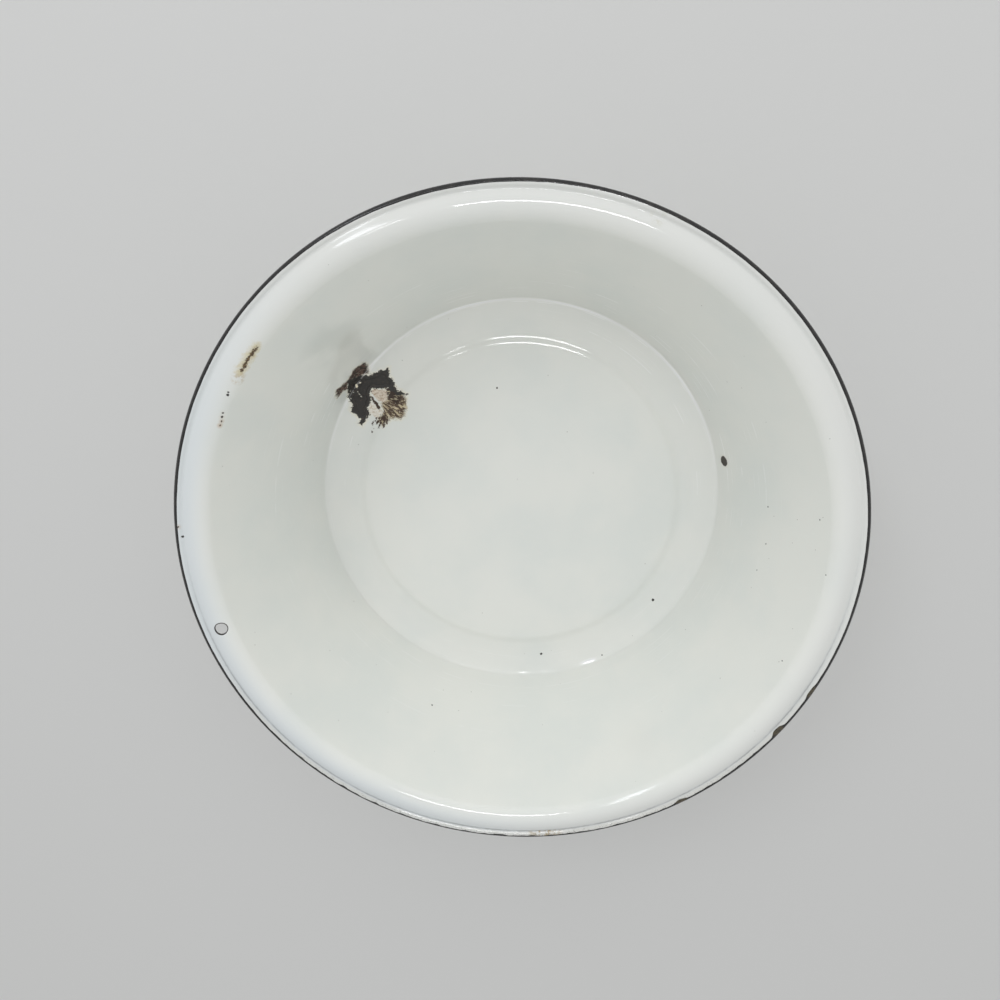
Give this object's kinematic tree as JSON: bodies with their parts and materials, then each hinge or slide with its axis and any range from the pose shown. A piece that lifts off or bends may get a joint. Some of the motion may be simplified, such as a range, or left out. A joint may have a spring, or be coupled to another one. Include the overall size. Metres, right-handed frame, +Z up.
{
  "type": "enamel basin bowl",
  "caption": "Wide round enamelled steel basin with sloping wall, raised floor, rolled lip, beaded edge in black and a small hang hole.",
  "frame": {"origin": "middle of the foot ring, on the table that the basin stands on", "axes": "+Z up along the basin's axis, out of its mouth; +X to the right and +Y to the top of the basin as the picture shows it"},
  "size_m": [0.3679, 0.368, 0.105],
  "materials": {
    "bare_steel": "satin",
    "ground_enamel": "gloss",
    "white_enamel_inside": "gloss",
    "white_enamel_outside": "gloss",
    "black_enamel_edging": "gloss"
  },
  "bodies": {
    "root": {"steel_shell": "bare_steel", "ground_coat": "ground_enamel", "inner_cover_coat": "white_enamel_inside", "outer_cover_coat": "white_enamel_outside", "rim_band": "black_enamel_edging"}
  },
  "joints": []
}
